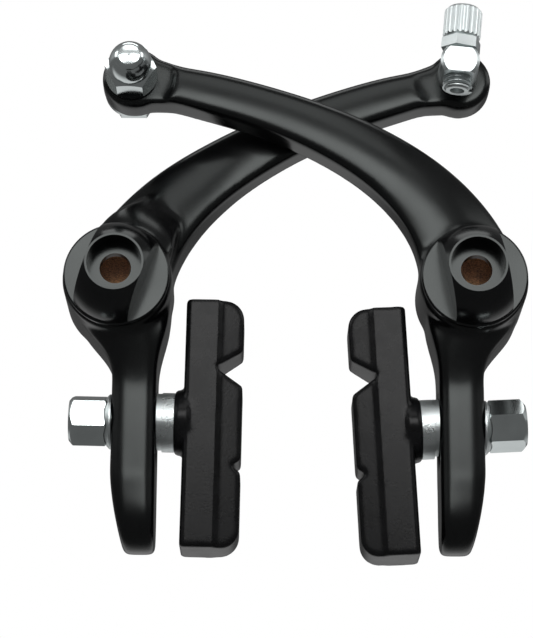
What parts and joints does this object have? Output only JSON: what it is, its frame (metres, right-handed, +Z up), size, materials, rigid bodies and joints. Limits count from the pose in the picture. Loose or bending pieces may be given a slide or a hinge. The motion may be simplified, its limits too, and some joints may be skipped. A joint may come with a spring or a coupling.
{
  "type": "u-brake",
  "caption": "Bicycle u-brake: crossed black arms sprung on frame posts, with rubber rim pads on slotted legs, a cable anchor and a barrel adjuster.",
  "frame": {"origin": "midway between the two post axes, in the plane the hubs face on the frame", "axes": "+X to the right seen from the front, +Y towards the frame along the posts, +Z up"},
  "size_m": [0.102, 0.0307, 0.127],
  "materials": {
    "black_arms": "black, gloss",
    "black_caps": "black, satin",
    "bronze": "plain bronze",
    "spring_steel": "oiled",
    "rubber": "matte, moulded",
    "satin_steel": "satin",
    "chrome_steel": "polished",
    "bright_alloy": "bright, knurled"
  },
  "bodies": {
    "post_bushes": {"left_pivot_bush": "bronze", "right_pivot_bush": "bronze"},
    "rear_arm": {"rear_arm": "black_arms", "swivel_washer": "black_caps"},
    "front_arm": {"front_arm": "black_arms", "anchor_bolt": "chrome_steel", "anchor_washer": "black_caps", "anchor_clamp_plate": "chrome_steel", "anchor_cap_nut": "chrome_steel"},
    "left_cap": {"left_tension_cap": "black_caps", "left_return_spring": "spring_steel"},
    "right_cap": {"right_tension_cap": "black_caps", "right_return_spring": "spring_steel"},
    "swivel": {"swivel_block": "chrome_steel", "swivel_clip": "chrome_steel", "barrel_lock_nut": "chrome_steel"},
    "barrel": {"barrel_adjuster": "bright_alloy"},
    "left_pad_slider": {"left_inner_washer": "satin_steel", "left_outer_washer": "satin_steel"},
    "left_pad_cups": {"left_pad_spacer": "satin_steel", "left_pad_nut": "chrome_steel"},
    "left_pad": {"left_pad_rubber": "rubber", "left_pad_stud": "chrome_steel"},
    "right_pad_slider": {"right_inner_washer": "satin_steel", "right_outer_washer": "satin_steel"},
    "right_pad_cups": {"right_pad_spacer": "satin_steel", "right_pad_nut": "chrome_steel"},
    "right_pad": {"right_pad_rubber": "rubber", "right_pad_stud": "chrome_steel"}
  },
  "joints": [
    {"name": "rear_arm_pivot", "type": "hinge", "parent": "post_bushes", "child": "rear_arm", "pos_m": [-0.039, -0.01, 0], "axis": [0, -1, 0], "range_deg": [-10, 7], "stiffness_Nm_per_rad": 2, "deforming": ["left_return_spring"]},
    {"name": "front_arm_pivot", "type": "hinge", "parent": "post_bushes", "child": "front_arm", "pos_m": [0.039, -0.01, 0], "axis": [0, 1, 0], "range_deg": [-10, 7], "stiffness_Nm_per_rad": 2, "deforming": ["right_return_spring"]},
    {"name": "left_cap_turn", "type": "hinge", "parent": "post_bushes", "child": "left_cap", "pos_m": [-0.039, -0.02, 0], "axis": [0, -1, 0], "range_deg": [-15, 15], "deforming": ["left_return_spring"]},
    {"name": "right_cap_turn", "type": "hinge", "parent": "post_bushes", "child": "right_cap", "pos_m": [0.039, -0.02, 0], "axis": [0, 1, 0], "range_deg": [-15, 15], "deforming": ["right_return_spring"]},
    {"name": "swivel_turn", "type": "hinge", "parent": "rear_arm", "child": "swivel", "pos_m": [0.03695, -0.0144, 0.0518], "axis": [0, 1, 0], "range_deg": [-20, 20]},
    {"name": "barrel_turn", "type": "hinge", "parent": "swivel", "child": "barrel", "pos_m": [0.03695, -0.0144, 0.0518], "axis": [0.0958, 0, 0.9954], "range_deg": [-180, 180]},
    {"name": "left_pad_slide", "type": "slide", "parent": "rear_arm", "child": "left_pad_slider", "axis": [0, 0, 1], "range_m": [-0.006, 0.0022]},
    {"name": "left_pad_lean", "type": "hinge", "parent": "left_pad_slider", "child": "left_pad_cups", "pos_m": [-0.035, -0.0095, -0.0302], "axis": [0, 1, 0], "range_deg": [-4, 4]},
    {"name": "left_pad_turn", "type": "hinge", "parent": "left_pad_cups", "child": "left_pad", "pos_m": [-0.035, -0.0095, -0.0302], "axis": [0.9998, 0, -0.0175], "range_deg": [-10, 10]},
    {"name": "right_pad_slide", "type": "slide", "parent": "front_arm", "child": "right_pad_slider", "axis": [0, 0, 1], "range_m": [-0.005, 0.0032]},
    {"name": "right_pad_lean", "type": "hinge", "parent": "right_pad_slider", "child": "right_pad_cups", "pos_m": [0.0362, -0.0095, -0.0312], "axis": [0, -1, 0], "range_deg": [-4, 4]},
    {"name": "right_pad_turn", "type": "hinge", "parent": "right_pad_cups", "child": "right_pad", "pos_m": [0.0362, -0.0095, -0.0312], "axis": [-0.9986, 0, -0.0523], "range_deg": [-10, 10]}
  ]
}
